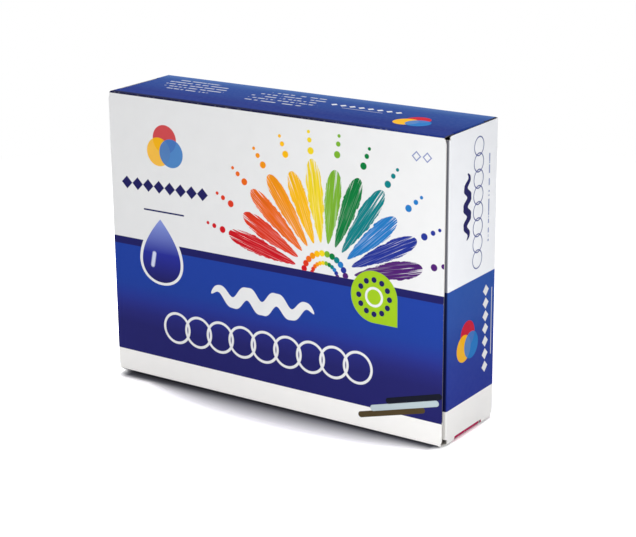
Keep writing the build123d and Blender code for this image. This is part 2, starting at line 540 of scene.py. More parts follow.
# %% A fan of brush dabs
fan_at = at(26.0, front_band_depth + 1.5)
fan_first, fan_last = math.radians(14), math.radians(166)
dab_start, dab_end, dab_half_width = 14.0, 45.0, 4.8
fan_drops = [(6.0, 0.9), (9.8, 1.3), (50.0, 1.4), (54.2, 1.0), (57.4, 0.7)]
foot_fullness, tip_fullness = 0.7, 2.0          # a dab is fuller towards its tip
tip_phase, tip_swing = 2.4, 2.0                 # no two neighbours end at the same radius
rag_grain, rag_depth = (0.35, 0.7, 9.0), 9.0    # along a dab, across it and from dab to dab
streak_grain = (0.06, 2.2, 5.0)
light_streaks = (0.52, 0.8, 0.0, 0.35)
dark_streaks = (0.48, 0.2, 0.0, 0.25)
dry_tip, dry_streaks = 0.35, (0.88, 0.94)       # the brush runs dry towards the tip


def fan(b, colour, x, z):
    """Twelve dabs of colour round a half circle, above the blue band."""
    across, along = x - fan_at[0], z - fan_at[1]
    radius = reach(across, along)
    angle = along.maths("ARCTAN2", across)
    count = len(wheel_colours)
    offset, number = nearest(angle, fan_first, (fan_last - fan_first) / (count - 1), count)
    ahead, side = offset.maths("COSINE") * radius, offset.maths("SINE") * radius
    tone = b.ramp(1.0 - number / (count - 1), even_stops(wheel_colours))
    for distance, size in fan_drops:
        colour = b.stamp(colour, tone, reach(ahead - distance, side) - size)
    reached = (number * tip_phase).maths("SINE") * tip_swing + dab_end
    share = ((radius - dab_start) / (reached - dab_start)).held(0.0, 1.0)
    belly = share * (1.0 - share)
    rag_noise, streak = (
        b.noise(b.point(radius * grain[0], side * grain[1], number * grain[2]), 1.0, detail)
        for grain, detail in ((rag_grain, 3.0), (streak_grain, 2.0))
    )
    ragged = (rag_noise - 0.5) * rag_depth
    width = (belly ** 0.5) * (share * (tip_fullness - foot_fullness) + foot_fullness) * dab_half_width
    tone = b.lay(tone, ink(255, 255, 255), b.between(streak, *light_streaks))
    tone = b.lay(tone, ink(20, 16, 40), b.between(streak, *dark_streaks))
    dry = b.between(streak + share * dry_tip, *dry_streaks, 1.0, 0.0)
    dab = (abs(side) - width + ragged * belly).most(radius - reached).most(dab_start - radius)
    return b.lay(colour, tone, b.inside(dab) * dry)


print("the fan spreads over", round(math.degrees(fan_last - fan_first)), "degrees")

# %% [markdown]
# ## What else is on the front
# A paint box names its maker and its paint in large words. Words are left off here, and simple marks of
# the same weight and colour hold their places: rows of diamonds, a white brush stroke, a chain of thin
# rings, a green badge with twelve dots, and a large blue drop with a white edge.

# %% Marks on the front
name_row = {"first": -70.6, "pitch": 5.5, "count": 8, "level": height - 37.0, "radius": 2.7}
ring_row = {"first": -47.0, "pitch": 11.0, "count": 9, "level": height - 96.0, "radius": 6.3}
ring_row["width"] = 1.1
corner_row = {"first": 66.6, "pitch": 4.6, "count": 2, "level": height - 8.6, "radius": 1.7}
corner_line = 0.45
mark_at, mark_radius = at(-50.5, 20.4), 5.9
name_line = (at(-62.0, 47.2), at(-42.0, 47.2), 0.35)
white_wave = (-29.0, 21.0, height - 77.5, 2.4, 3.5, 5.6)  # as wave takes them, from its start on
badge_at, badge_radius = at(48.4, 66.0), 10.4
badge_dots, dot_circle, dot_radius = 12, 0.66 * badge_radius, 1.15
badge_ring, badge_ring_width = 0.34 * badge_radius, 1.0
drop_foot, drop_length, drop_half_width = at(-54.0, 77.5), 27.0, 9.8
edge_foot, edge_length, edge_side = 1.1, 3.74, 1.32
shine_from, shine_to, shine_half_width = (-4.6, 7.0), (-3.6, 12.0), 0.9
stroke_half_width = 1.25
slanted_strokes = [
    (at(42.5, 115.0), at(70.0, 107.6), bristle_brown),
    (at(48.0, 111.2), at(76.0, 103.6), metal_grey),
    (at(55.0, 106.8), at(77.4, 100.6), handle_black),
]


def badge(b, colour, x, z):
    """A green disc with one square corner and a clock face of twelve navy dots."""
    across, along = x - badge_at[0], z - badge_at[1]
    radius = reach(across, along)
    corner = abs(across - badge_radius / 2).most(abs(along + badge_radius / 2)) - badge_radius / 2
    colour = b.stamp(colour, badge_green, (radius - badge_radius).least(corner))
    angle = along.maths("ARCTAN2", across)
    offset, number = nearest(angle, -math.pi, 2 * math.pi / badge_dots, badge_dots + 1)
    dot = reach(offset.maths("COSINE") * radius - dot_circle, offset.maths("SINE") * radius)
    colour = b.stamp(colour, paper, outline(radius - badge_ring, badge_ring_width))
    return b.stamp(colour, navy, dot - dot_radius)


def paint_drop(b, colour, x, z):
    """A blue drop with a white edge and a soft light on its left side."""
    foot = Vector(drop_foot)
    rim_foot = foot - Vector((0, edge_foot))
    rim = drop(x, z, rim_foot, drop_length + edge_length, drop_half_width + edge_side)
    colour = b.stamp(colour, paper, rim)
    blues = [(0.0, navy), (0.45, drop_blue), (1.0, drop_light)]
    tone = b.ramp((z - foot.y) / drop_length, blues)
    colour = b.stamp(colour, tone, drop(x, z, foot, drop_length, drop_half_width))
    shine = stripe(x, z, foot + Vector(shine_from), foot + Vector(shine_to), shine_half_width)
    return b.stamp(colour, ink(225, 230, 250), shine, strength=0.85, softness=0.3)


def front_artwork(b, x, y, z):
    band_top = height - front_band_depth
    colour = blocks(b, z, z + x * foot_tilt, paper, front_band_depth, front_foot_depth, front_blues)
    colour = b.stamp(colour, rim_navy, outline(z - band_top + rim_height / 2, rim_height))
    colour = b.stamp(colour, fan(b, colour, x, z), band_top - z, softness=0.05)
    colour = three_discs(b, colour, x, z, mark_at, mark_radius)
    colour = b.stamp(colour, navy, diamonds(x, z, name_row))
    colour = b.stamp(colour, navy, stripe(x, z, *name_line))
    colour = b.stamp(colour, pale_navy, outline(diamonds(x, z, corner_row), corner_line))
    for start, end, tone in slanted_strokes:
        colour = b.stamp(colour, tone, stripe(x, z, start, end, stroke_half_width))
    colour = b.stamp(colour, paper, wave(x, z, *white_wave))
    colour = b.stamp(colour, paper, chain(x, z, ring_row))
    return paint_drop(b, badge(b, colour, x, z), x, z)


print("the front carries", ring_row["count"], "rings and a badge of", 2 * badge_radius, "mm")

# %% [markdown]
# ## The other faces
# The ends repeat the front's marks, turned upright as the words on such a box are. The top is blue with
# rows of fine white dashes, the back shows the twelve paints as swatches, and the bottom is magenta.

# %% Artwork of the ends
end_rings = {"first": height - 52.4, "pitch": 6.3, "count": 8, "level": 5.0, "radius": 3.6}
end_rings["width"] = 0.5
end_names = {"first": height - 98.0, "pitch": 5.2, "count": 7, "level": 12.4, "radius": 2.3}
end_wave = (height - 43.0, height - 17.0, -3.4, 1.3, 3.5, 3.4)
end_type = (height - 47.0, height - 13.0, 13.4, 0.4)
end_mark_at, end_mark_radius = at(-1.6, 84.0), 5.4
end_line = (at(17.2, 94.0), at(17.2, 67.0))
fine_half_width = 0.25
# painted shade on the closures' round folds: its reach, and its strength above, in and below the blue
# band
fold_shade_shares = (0.05, 0.45)  # of the round fold, over which its painted shade fades
fold_shade_above, fold_shade_band, fold_shade_foot = 0.78, 0.92, 0.10
fold_shade_margin = 1.0           # how far the painted shade runs on past the fold, into the tongue


def dashes(b, along, across, start, end, level, half_width):
    """A mask of a line of dashes of uneven length, as small type looks from afar."""
    line = stripe(along, across, (start, level), (end, level), half_width)
    breaks = b.noise(b.point(along * 0.5, level * 3.7), 1.0, 1.0)
    return b.inside(line) * b.between(breaks, 0.42, 0.47)


def fold_shade(b, x, y, z):
    """A mask of painted navy shade on the round fold, strongest beside the band and faint at the foot."""
    start, end = (closure_low.y + share * tuck_fold for share in fold_shade_shares)
    from_band = b.inside(z - height + end_band_depth) * (fold_shade_band - fold_shade_above)
    from_foot = b.inside(z - height + end_foot_depth) * (fold_shade_band - fold_shade_foot)
    strength = from_band - from_foot + fold_shade_above
    across = b.between(y, start, end, 1.0, 0.0)
    return across * strength * b.inside(tongue_high.x - fold_shade_margin - abs(x))


def end_artwork(b, x, y, z):
    colour = blocks(b, z, z, brightened_end_paper, end_band_depth, end_foot_depth, end_blues)
    colour = b.stamp(colour, line_navy, chain(z, y, end_rings))
    colour = b.stamp(colour, navy, wave(z, y, *end_wave))
    colour = b.lay(colour, pale_navy, dashes(b, z, y, *end_type))
    colour = three_discs(b, colour, y, z, end_mark_at, end_mark_radius)
    colour = b.stamp(colour, paper, diamonds(z, y, end_names))
    colour = b.stamp(colour, paper, stripe(y, z, *end_line, fine_half_width), strength=0.8)
    # painted shade: navy on the round fold makes the slit beside the front look dark
    return b.lay(colour, painted_shade_navy, fold_shade(b, x, y, z))


print("each end carries", end_rings["count"], "rings and", end_names["count"], "diamonds")

# %% Artwork of the top, the back and the bottom
top_blues = [
    (0.10, ink(28, 50, 126)),
    (0.25, ink(28, 48, 123)),
    (0.45, ink(34, 62, 133)),
    (0.75, ink(40, 72, 142)),
    (0.85, ink(49, 83, 147)),
    (0.97, ink(76, 108, 166)),
]
top_names = {"first": 14.0, "pitch": 4.2, "count": 8, "level": 6.0, "radius": 1.5}
top_type = [
    (-66.0, -46.0, 13.0),
    (-69.0, -40.0, 9.2),
    (-68.0, -38.0, 5.4),
    (-66.0, -37.0, 1.6),
    (-62.0, -42.0, -2.2),
    (-19.0, 6.0, 12.0),
    (-22.0, 8.0, 8.2),
    (-24.0, 6.0, 4.4),
    (-23.0, 9.0, 0.6),
    (-22.0, 4.0, -3.2),
]
top_type_half_width, top_type_strength = 0.55, 0.62
top_line = ((20.0, 2.4), (38.0, 2.4))
top_mark_at, top_mark_radius = (56.0, -4.0), 5.0
# painted shade along the top's front crease: its width, and where it fades
crease_shade_width = 2.7
crease_shade_fade = (20.0, 66.0, 1.0, 0.12)  # the painted shade is full at the first place along the top, then faint
fold_margin = 0.5             # how far a side's white goes in from that side
swatch_columns, swatch_rows = 4, 3
swatch_pitch = (28.0, 16.0)
swatch_first = at(-42.0, 46.0)
swatch_radius, swatch_line_radius, swatch_line = 5.2, 6.2, 0.4
back_type = [(72.0, 50.0), (78.0, 41.0), (84.0, 50.0), (90.0, 41.0), (96.0, 50.0)]
back_type_half_width, back_type_strength = 0.7, 0.85
crease_lean = 1.3             # how much lower the front's lower crease lies at its right end
white_above_crease = 0.3
magenta_fold = (-11.0, 10.1)  # where the magenta strip under a closure begins and ends


def top_artwork(b, x, y, z):
    """Blue with rows of dashes, painted shade along the front crease, and white where it turns down."""
    colour = b.ramp((y - front_low.y) / box_depth, top_blues)
    for line in top_type:
        colour = b.lay(colour, paper, dashes(b, x, y, *line, top_type_half_width) * top_type_strength)
    colour = b.stamp(colour, paper, diamonds(x, y, top_names), strength=0.85)
    colour = b.stamp(colour, paper, stripe(x, y, *top_line, fine_half_width), strength=0.5)
    colour = three_discs(b, colour, x, y, top_mark_at, top_mark_radius)
    # painted shade: a dark navy strip along the front crease, fading towards the right
    strip = b.inside(y - front_low.y - crease_shade_width, 0.5) * b.between(x, *crease_shade_fade)
    colour = b.lay(colour, painted_shade_navy, strip)
    turned_down = b.inside(z - height + 0.6 * fold, 0.05) * b.inside(y - front_low.y - fold_margin)
    return b.lay(colour, paper, turned_down)


def back_artwork(b, x, y, z):
    colour = blocks(b, z, z, brightened_end_paper, end_band_depth, end_foot_depth, end_blues)
    across, column = nearest(x, swatch_first[0], swatch_pitch[0], swatch_columns)
    along, row = nearest(z, swatch_first[1], swatch_pitch[1], swatch_rows)
    away = reach(across, along)
    number = row * swatch_columns + column
    tone = b.ramp(number / (len(paint_colours) - 1), even_stops(list(paint_colours.values())))
    colour = b.stamp(colour, tone, away - swatch_radius)
    colour = b.stamp(colour, line_navy, outline(away - swatch_line_radius, swatch_line))
    for depth, length in back_type:
        line = dashes(b, x, z, -length, length, height - depth, back_type_half_width)
        colour = b.lay(colour, paper, line * back_type_strength)
    return colour


def bottom_artwork(b, x, y, z):
    """Magenta with painted navy shade under the front, and white up to the creases and beside the folds.
    """
    # painted shade: navy on the slope that runs in under the front's lower edge
    colour = b.stamp(magenta, painted_shade_navy, y - front_low.y - sag_run)
    left_level = bottom_sag + white_above_crease
    crease_level = b.between(x, front_low.x, front_high.x, left_level, left_level - crease_lean)
    front_side = b.inside(crease_level - z) * b.inside(y - front_low.y - fold_margin)
    back_side = b.inside(bottom_sag - z) * b.inside(bottom_high.y - fold_margin - y)
    colour = b.lay(colour, foot_white, front_side.most(back_side))
    beyond_magenta = b.inside(y - magenta_fold[0]).most(b.inside(magenta_fold[1] - y))
    return b.lay(colour, foot_white, beyond_magenta * b.inside(root_x - abs(x)))


print("the top carries", len(top_type), "lines of dashes and the back", len(paint_colours), "swatches")

# %% [markdown]
# ## Printed board
# Carton board is pressed fibre with a thin chalk coat, ink and a satin varnish. From a step away that
# shows as a soft sheen that wanders a little, because a sheet is never quite flat, and as creases and
# corners where the ink has cracked and the white fibre shows. The print follows an attribute with
# each point's place at rest, so that it stays on the board when a flap bends.

# %% Three board materials
satin = {"rough": 0.6, "shine": 0.03, "fibre": 0.004}
bare = {"rough": 0.75, "shine": 0.15, "fibre": 0.02}


def board_surface(b, spot, colour, rough, shine, fibre):
    """The satin or bare surface of board, with its waviness and its fibres as bumps."""
    waviness = b.noise(spot, 0.045, 1.0)
    fine = b.noise(spot, 2.6, 3.0)
    relief = waviness * 0.25 + fine * fibre
    inputs = {
        "Base Color": colour,
        "Roughness": b.clouds(spot, 0.6, 3.0, rough - 0.05, rough + 0.07),
        "Normal": b.node("Bump", {}, {"Strength": 1.0, "Distance": MM, "Height": relief}),
        "Specular IOR Level": shine,
    }
    return b.node("BsdfPrincipled", {}, inputs)


def rest_place(b):
    """Where a point of the board was before its flap bent."""
    source = b.node("Attribute", {"attribute_name": "print_place"}, {}).output("Vector")
    return b.place(source, 1.0)


def rubbed_edge(b, spot, x, y, z):
    """A mask of the box's edges: there two of the three distances to its faces are small."""
    rub_width, unevenness = 0.1, 1.8
    ends = closure_high.x - abs(x)
    sides = back_high.y - abs(y)
    levels = height / 2 - abs(z - height / 2)
    second = ends.least(sides).most(ends.most(sides).least(levels))
    return b.inside(second - rub_width + (b.noise(spot, 0.9, 4.0) - 0.5) * unevenness, 0.15)


def printed_board(name, artwork):
    """Board with artwork, slightly mottled and a little rubbed along the edges."""
    most_mottle, most_rub = 0.02, 0.22
    b = Bench(bpy.data.materials.new(name))
    spot, x, y, z = rest_place(b)
    mottle = b.clouds(spot, 0.15, 3.0, 0.0, most_mottle)
    colour = b.lay(artwork(b, x, y, z), ink(20, 20, 60), mottle)
    colour = b.lay(colour, edge_board, rubbed_edge(b, spot, x, y, z) * most_rub)
    return b.finish(board_surface(b, spot, colour, **satin))


def plain_board(name, tone, speckle, painted_edge_shade):
    """Grey-white fibre with specks; cut edges get painted navy shade, and the end folds are magenta."""
    under_top_depth, past_strip, before_root = 0.7, 0.6, 0.3
    b = Bench(bpy.data.materials.new(name))
    spot, x, y, z = rest_place(b)
    colour = b.lay(tone, ink(176, 170, 160), b.clouds(spot, 0.25, 4.0, 0.0, speckle))
    specks = b.between(b.noise(spot, 5.0, 1.0), 0.70, 0.78, 0.0, 0.5)
    colour = b.lay(colour, ink(150, 140, 126), specks)
    beside_band = b.inside(z - height + front_band_depth) * b.inside(height - front_foot_depth - z)
    under_top = b.inside(height - under_top_depth - z)
    # painted shade: navy darkens the cut edges beside the blue band and at the top, where they lie in
    # narrow gaps
    colour = b.lay(colour, painted_shade_navy, beside_band.most(under_top) * painted_edge_shade)
    along_fold = b.inside(magenta_fold[0] - y) * b.inside(y - magenta_fold[1] - past_strip)
    low_down = b.inside(z - bottom_sag)
    colour = b.lay(colour, magenta, low_down * along_fold * b.inside(root_x - before_root - abs(x)))
    return b.finish(board_surface(b, spot, colour, **bare))


bare_board = plain_board("bare_board", grey_board, 0.35, 0.0)
cut_board = plain_board("cut_board", edge_board, 0.2, 0.9)
front_print = printed_board("front_print", front_artwork)
end_print = printed_board("end_print", end_artwork)
top_print = printed_board("top_print", top_artwork)
back_print = printed_board("back_print", back_artwork)
bottom_print = printed_board("bottom_print", bottom_artwork)
print("the front's print has", len(front_print.node_tree.nodes), "nodes")

# %% [markdown]
# ## Bending board
# A board piece could be a box with its edges rounded, but real board keeps its thickness round a fold.
# So each piece starts as a single line: its section, drawn with straight runs and turns. The line is
# swept to a sheet, cut to its outline, and only then given the thickness of the board.

# %% Draw, sweep, trim and thicken
FOLD_STEPS = 8
near = 0.01          # closer than this, a point counts as lying on a plane
edge_rounding = 0.07
flat_normal = 0.9999
print("a fold is drawn in", FOLD_STEPS, "steps and a cut edge is rounded by", edge_rounding, "mm")


def run(mesh, tip, by):
    """Draws a straight edge from the tip and gives the new tip."""
    made = bmesh.ops.extrude_vert_indiv(mesh, verts=[tip])
    bmesh.ops.translate(mesh, verts=made["verts"], vec=by)
    return made["verts"][0]


def turn(mesh, tip, centre, axis, degrees):
    """Draws an arc from the tip and gives the new tip."""
    angle = math.radians(degrees)
    made = bmesh.ops.spin(mesh, geom=[tip], cent=centre, axis=axis, angle=angle, steps=FOLD_STEPS)
    return made["geom_last"][0]


def bent_line(mesh, corners, radii):
    """Draws a line across the box through corners given as depth and height, each bent to its radius."""
    points = [Vector((top_low.x, *corner)) for corner in corners]
    tip = mesh.verts.new(points[0])
    for before, corner, after, radius in zip(points, points[1:], points[2:], radii):
        arriving = (corner - before).normalized()
        leaving = (after - corner).normalized()
        axis = arriving.cross(leaving).normalized()
        angle = arriving.angle(leaving)
        bend_start = corner - arriving * radius * math.tan(angle / 2)
        tip = run(mesh, tip, bend_start - tip.co)
        tip = turn(mesh, tip, tip.co + axis.cross(arriving) * radius, axis, math.degrees(angle))
    run(mesh, tip, points[-1] - tip.co)


def sweep(mesh, by):
    """Pulls the drawn line out to a sheet."""
    made = bmesh.ops.extrude_edge_only(mesh, edges=mesh.edges[:])
    pulled = [item for item in made["geom"] if isinstance(item, bmesh.types.BMVert)]
    bmesh.ops.translate(mesh, verts=pulled, vec=by)


def cut(mesh, point, normal, away=False):
    """Cuts the sheet along a plane, and takes away what lies on the normal's side if asked."""
    everything = mesh.verts[:] + mesh.edges[:] + mesh.faces[:]
    bmesh.ops.bisect_plane(mesh, geom=everything, plane_co=point, plane_no=normal, clear_outer=away)


def face_outwards(mesh):
    """Turns the sheet's faces so that they point away from the middle of the box."""
    mesh.normal_update()
    outward = sum((f.calc_center_median() - middle).dot(f.normal) * f.calc_area() for f in mesh.faces)
    if outward < 0:
        bmesh.ops.reverse_faces(mesh, faces=mesh.faces[:])


def thicken(mesh):
    """Gives the sheet its thickness. Material 0 is the print, 1 the bare side and 2 the cut edges."""
    face_outwards(mesh)
    printed = set(mesh.faces)
    made = bmesh.ops.solidify(mesh, geom=mesh.faces[:], thickness=board)
    inner = {item for item in made["geom"] if isinstance(item, bmesh.types.BMFace)}
    for face in mesh.faces:
        face.material_index = 0 if face in printed else 1 if face in inner else 2


def soften_edges(mesh, joined=()):
    """Rounds the cut edges a little, but not where a piece runs on into its neighbour."""
    rims = []
    for edge in mesh.edges:
        kinds = {face.material_index for face in edge.link_faces}
        on_joint = any(
            all(abs((vert.co - Vector(point)).dot(Vector(normal))) < near for vert in edge.verts)
            for point, normal in joined
        )
        if 2 in kinds and len(kinds) == 2 and not on_joint:
            rims.append(edge)
    bmesh.ops.bevel(
        mesh, geom=rims, offset=edge_rounding, segments=2, profile=0.5, affect="EDGES", material=-1
    )


def round_corners(mesh, tips, radius, segments):
    bmesh.ops.bevel(
        mesh, geom=tips, offset=radius, segments=segments, profile=0.5, affect="VERTICES", material=-1
    )


board_slots = {top_print: "blue_board", bottom_print: "magenta_board", bare_board: "bare_board"}


def board_piece(name, mesh, outside, body, joined=(), mirrored=(1, 1, 1)):
    """Turns a sheet into a finished piece of board in metres that stands for the node of its name."""
    thicken(mesh)
    soften_edges(mesh, joined)
    if mirrored != (1, 1, 1):
        bmesh.ops.translate(mesh, verts=mesh.verts[:], vec=-middle)
        bmesh.ops.scale(mesh, verts=mesh.verts[:], vec=mirrored)
        bmesh.ops.translate(mesh, verts=mesh.verts[:], vec=middle)
        if math.prod(mirrored) < 0:
            bmesh.ops.reverse_faces(mesh, faces=mesh.faces[:])
    mesh.normal_update()
    for face in mesh.faces:
        face.smooth = max(abs(value) for value in face.normal) < flat_normal
    data = bpy.data.meshes.new(name + "_board")
    mesh.to_mesh(data)
    mesh.free()
    rest = data.attributes.new("print_place", "FLOAT_VECTOR", "POINT")
    rest.data.foreach_set("vector", [value for vertex in data.vertices for value in vertex.co])
    data.transform(Matrix.Scale(MM, 4))
    for material in (outside, bare_board, cut_board):
        data.materials.append(material)
    piece = add_object(name + "_board", data)
    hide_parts(name)
    board_slots.get(outside, "printed_board")
    if body:
        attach(piece, body)
    print(f"{piece.name}: {len(data.polygons)} faces")
    return piece


# %% [markdown]
# ## The tube
# The front, top, back and bottom and the glue flap are one strip on the real carton. The top and the
# bottom take the creases with them here, so the front and the back are flat sheets between them.

# %% Front, back and glue flap
X, Y, Z = Vector((1, 0, 0)), Vector((0, 1, 0)), Vector((0, 0, 1))
upper_crease = ((0, 0, top_low.z), Z)
lower_crease = ((0, 0, bottom_high.z), Z)
roots = (((root_x, 0, 0), X), ((-root_x, 0, 0), X))
nick_depth, nick_top_length, nick_bottom_length = 0.5, 1.8, 1.2
edge_lean = 0.4


def flat_sheet(y, low, high):
    """A rectangle across the box at one depth."""
    mesh = bmesh.new()
    corner = mesh.verts.new((low.x, y, low.z))
    run(mesh, corner, (high.x - low.x, 0, 0))
    sweep(mesh, (0, 0, high.z - low.z))
    return mesh


def lean_crease(mesh):
    """Lets the front's lower crease sink towards its right end, as it does on a box that is full."""
    for vert in mesh.verts:
        if vert.co.y < 0 and vert.co.z < height / 2:
            along = (vert.co.x - front_low.x) / (front_high.x - front_low.x)
            vert.co.z -= crease_lean * along * min(vert.co.z / bottom_sag, 1.0)


def lean_edge(mesh):
    """Lets the front's right edge lean out towards the closure at its top."""
    for vert in mesh.verts:
        if vert.co.x > 0 and vert.co.z > height / 2:
            vert.co.x += edge_lean


front = flat_sheet(front_low.y, front_low, front_high)
for side in (-1, 1):
    for z, upward, length in ((front_high.z, 1, nick_top_length), (front_low.z, -1, nick_bottom_length)):
        slope = Vector((side * length, 0, upward * nick_depth))
        cut(front, (side * front_high.x, 0, z - upward * length), slope, away=True)
lean_crease(front)
lean_edge(front)
board_piece("front_panel", front, front_print, "carton", (upper_crease, lower_crease))

back_sheet = flat_sheet(back_high.y, back_low, back_high)
for side in (-1, 1):
    cut(back_sheet, (side * root_x, 0, 0), (side, 0, 0), away=True)
board_piece("back_panel", back_sheet, back_print, "carton", (upper_crease, *roots))

glue_taper = 4.0
glue = flat_sheet(glue_high.y, glue_low, glue_high)
for side in (-1, 1):
    slope = Vector((side * (glue_high.z - glue_low.z), 0, glue_taper))
    cut(glue, (side * glue_high.x, 0, glue_low.z), slope, away=True)
board_piece("glue_flap", glue, bare_board, "carton", (lower_crease,))

# %% Top and bottom
slit = 0.1  # between a dust flap's root and the panel beside it


def notch(mesh):
    """Takes the roots of the dust flaps out of a panel."""
    root_front, root_back = dust_low.y - slit, dust_high.y + slit
    cut(mesh, (0, root_front, 0), Y)
    cut(mesh, (0, root_back, 0), Y)
    for side in (-1, 1):
        cut(mesh, (side * root_x, 0, 0), X)
    notches = [
        face
        for face in mesh.faces
        if abs(face.calc_center_median().x) > root_x
        and root_front < face.calc_center_median().y < root_back
    ]
    bmesh.ops.delete(mesh, geom=notches, context="FACES")


top = bmesh.new()
top_section = [
    (front_low.y, height - crease_reach),
    (front_low.y, height),
    (back_high.y, height),
    (back_high.y, height - crease_reach),
]
bent_line(top, top_section, (fold, fold))
sweep(top, (top_high.x - top_low.x, 0, 0))
notch(top)

bottom = bmesh.new()
bottom_section = [
    (front_low.y, bottom_high.z),
    (front_low.y, bottom_sag),
    (front_low.y + sag_run, 0),
    (bottom_high.y - sag_run, 0),
    (bottom_high.y, bottom_sag),
    (bottom_high.y, bottom_high.z),
]
bent_line(bottom, bottom_section, (fold, sag_radius, sag_radius, fold))
sweep(bottom, (bottom_high.x - bottom_low.x, 0, 0))
notch(bottom)
lean_crease(bottom)

board_piece("top_panel", top, top_print, "carton", (upper_crease, *roots))
board_piece("bottom_panel", bottom, bottom_print, "carton", (lower_crease, *roots))

# %% [markdown]
# ## The closures and their tongues
# A closure turns about an upright crease of the back, and its tongue about the round fold at its free
# edge. A rigid flap would show a gap at the crease when it opens. Each flap here includes its crease.

# %% End closures
tongue_drop = 0.9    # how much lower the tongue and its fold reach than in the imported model
tongue_foot = tongue_low.z - tongue_drop
bend_step = 0.3      # from one line to the next where the board bends
window_step = 0.5    # over which the closure's lower edge steps up over the magenta strip
window_margin = 0.1
closure_bend = 0.95  # how far past its root the closure has fully bent


def closure_sheet():
    """The right-hand closure from its root on the back to the end of its round fold."""
    mesh = bmesh.new()
    crease = (closure_high.x - fold, back_high.y - fold, 0)
    tip = mesh.verts.new((root_x, back_high.y, closure_low.z))
    tip = run(mesh, tip, (crease[0] - root_x, 0, 0))
    tip = turn(mesh, tip, crease, Z, -90)
    tuck_y = closure_low.y + tuck_fold
    for step in range(3):
        tip = run(mesh, tip, (0, -bend_step, 0))
    flat_back = tip.co.y
    strip_front, strip_back = magenta_fold
    for y in (strip_back + window_step, strip_back, strip_front + window_step, strip_front, tuck_y):
        tip = run(mesh, tip, (0, y - tip.co.y, 0))
    turn(mesh, tip, (closure_high.x - tuck_fold, tuck_y, 0), Z, -90)
    sweep(mesh, (0, 0, closure_high.z - closure_low.z))
    cut(mesh, (0, 0, tongue_foot), Z)
    cut(mesh, (0, 0, tongue_high.z), Z)
    corners = [
        face
        for face in mesh.faces
        if face.calc_center_median().y < tuck_y
        and not tongue_foot < face.calc_center_median().z < tongue_high.z
    ]
    bmesh.ops.delete(mesh, geom=corners, context="FACES")
    back_start, back_end = strip_back + window_step - window_margin, flat_back + window_margin
    for vert in mesh.verts:
        at_corner = vert.co.y < strip_front + window_margin or back_start < vert.co.y < back_end
        if at_corner and vert.co.z < closure_low.z + window_margin:
            vert.co.z -= crease_lean
    return mesh


fold_plane = ((tongue_high.x, 0, 0), X)
root_plane = ((root_x, 0, 0), X)
for side, name in ((1, "right"), (-1, "left")):
    closure = board_piece(
        f"{name}_closure", closure_sheet(), end_print, None, (root_plane, fold_plane), (side, 1, 1)
    )
    start = Vector((side * (root_x + board / 2), back_high.y - board / 2, height / 2))
    end = start + Vector((side * closure_bend, -closure_bend, 0))
    f"{name}_closure"
    start * MM
    end * MM
    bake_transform(closure)

# %% Tuck tongues
tongue_corner = 8.0
tongue_bend, tongue_bend_steps = 1.0, 4


def tongue_sheet():
    """The right-hand tongue: a strip with round corners at its tip."""
    mesh = bmesh.new()
    corner = mesh.verts.new((tongue_high.x, tongue_low.y, tongue_foot))
    tip = run(mesh, corner, (tongue_low.x - tongue_high.x, 0, 0))
    sweep(mesh, (0, 0, tongue_high.z - tongue_foot))
    tips = [vert for vert in mesh.verts if vert.co.x < tongue_low.x + near]
    round_corners(mesh, tips, tongue_corner, 10)
    for step in range(1, tongue_bend_steps + 1):
        cut(mesh, (tongue_high.x - tongue_bend * step / tongue_bend_steps, 0, 0), X)
    return mesh


for side, name in ((1, "right"), (-1, "left")):
    tongue = board_piece(f"{name}_tongue", tongue_sheet(), end_print, None, (fold_plane,), (side, 1, 1))
    start = Vector((side * tongue_high.x, tongue_low.y, height / 2))
    end = start - Vector((side * tongue_bend, 0, 0))
    f"{name}_closure"
    f"{name}_tongue"
    start * MM
    end * MM
    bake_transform(tongue)

# %% [markdown]
# ## The dust flaps
# Four short flaps fold in behind the closures and keep the jars from sliding out of the tube. Their
# sides taper, so that they slip in without catching.

# %% Dust flaps
dust_crease_x = root_x + 0.1  # where the bend begins, just past the root
dust_fold = dust_high.x - dust_crease_x
dust_bend = 0.7               # how far past its root a dust flap has fully bent
dust_back_taper, dust_front_taper, dust_corner = 5.4, 1.0, 2.5


def dust_sheet():
    """The upper right-hand dust flap, from its root in the top panel to its tip."""
    mesh = bmesh.new()
    tip = mesh.verts.new((root_x, dust_low.y, height))
    tip = run(mesh, tip, (dust_crease_x - root_x, 0, 0))
    tip = turn(mesh, tip, (dust_crease_x, 0, height - dust_fold), Y, 90)
    for step in range(2):
        tip = run(mesh, tip, (0, 0, -bend_step))
    run(mesh, tip, (0, 0, dust_low.z - tip.co.z))
    sweep(mesh, (0, dust_high.y - dust_low.y, 0))
    drop_height = height - dust_low.z
    cut(mesh, (0, dust_high.y, height), (0, drop_height, -dust_back_taper), away=True)
    cut(mesh, (0, dust_low.y, height), (0, -drop_height, -dust_front_taper), away=True)
    tips = [vert for vert in mesh.verts if vert.co.z < dust_low.z + near]
    round_corners(mesh, tips, dust_corner, 6)
    return mesh


for side, end_name in ((1, "right"), (-1, "left")):
    for upward, level, print_material in ((1, "top", top_print), (-1, "bottom", bottom_print)):
        name = f"{end_name}_{level}_dust_flap"
        flap = board_piece(name, dust_sheet(), print_material, None, (root_plane,), (side, 1, upward))
        start = Vector((side * root_x, 0, height / 2 + upward * (height / 2 - board)))
        end = start + Vector((side * dust_bend, 0, -upward * dust_bend))
        start * MM
        end * MM
        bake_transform(flap)

# %% [markdown]
# ## Jars, paint and lids
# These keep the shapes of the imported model: turned jars, ribbed screw lids and a plug of paint in each
# jar. The jar is thin clear plastic that lets the paint show. Each lid has the colour of its paint.

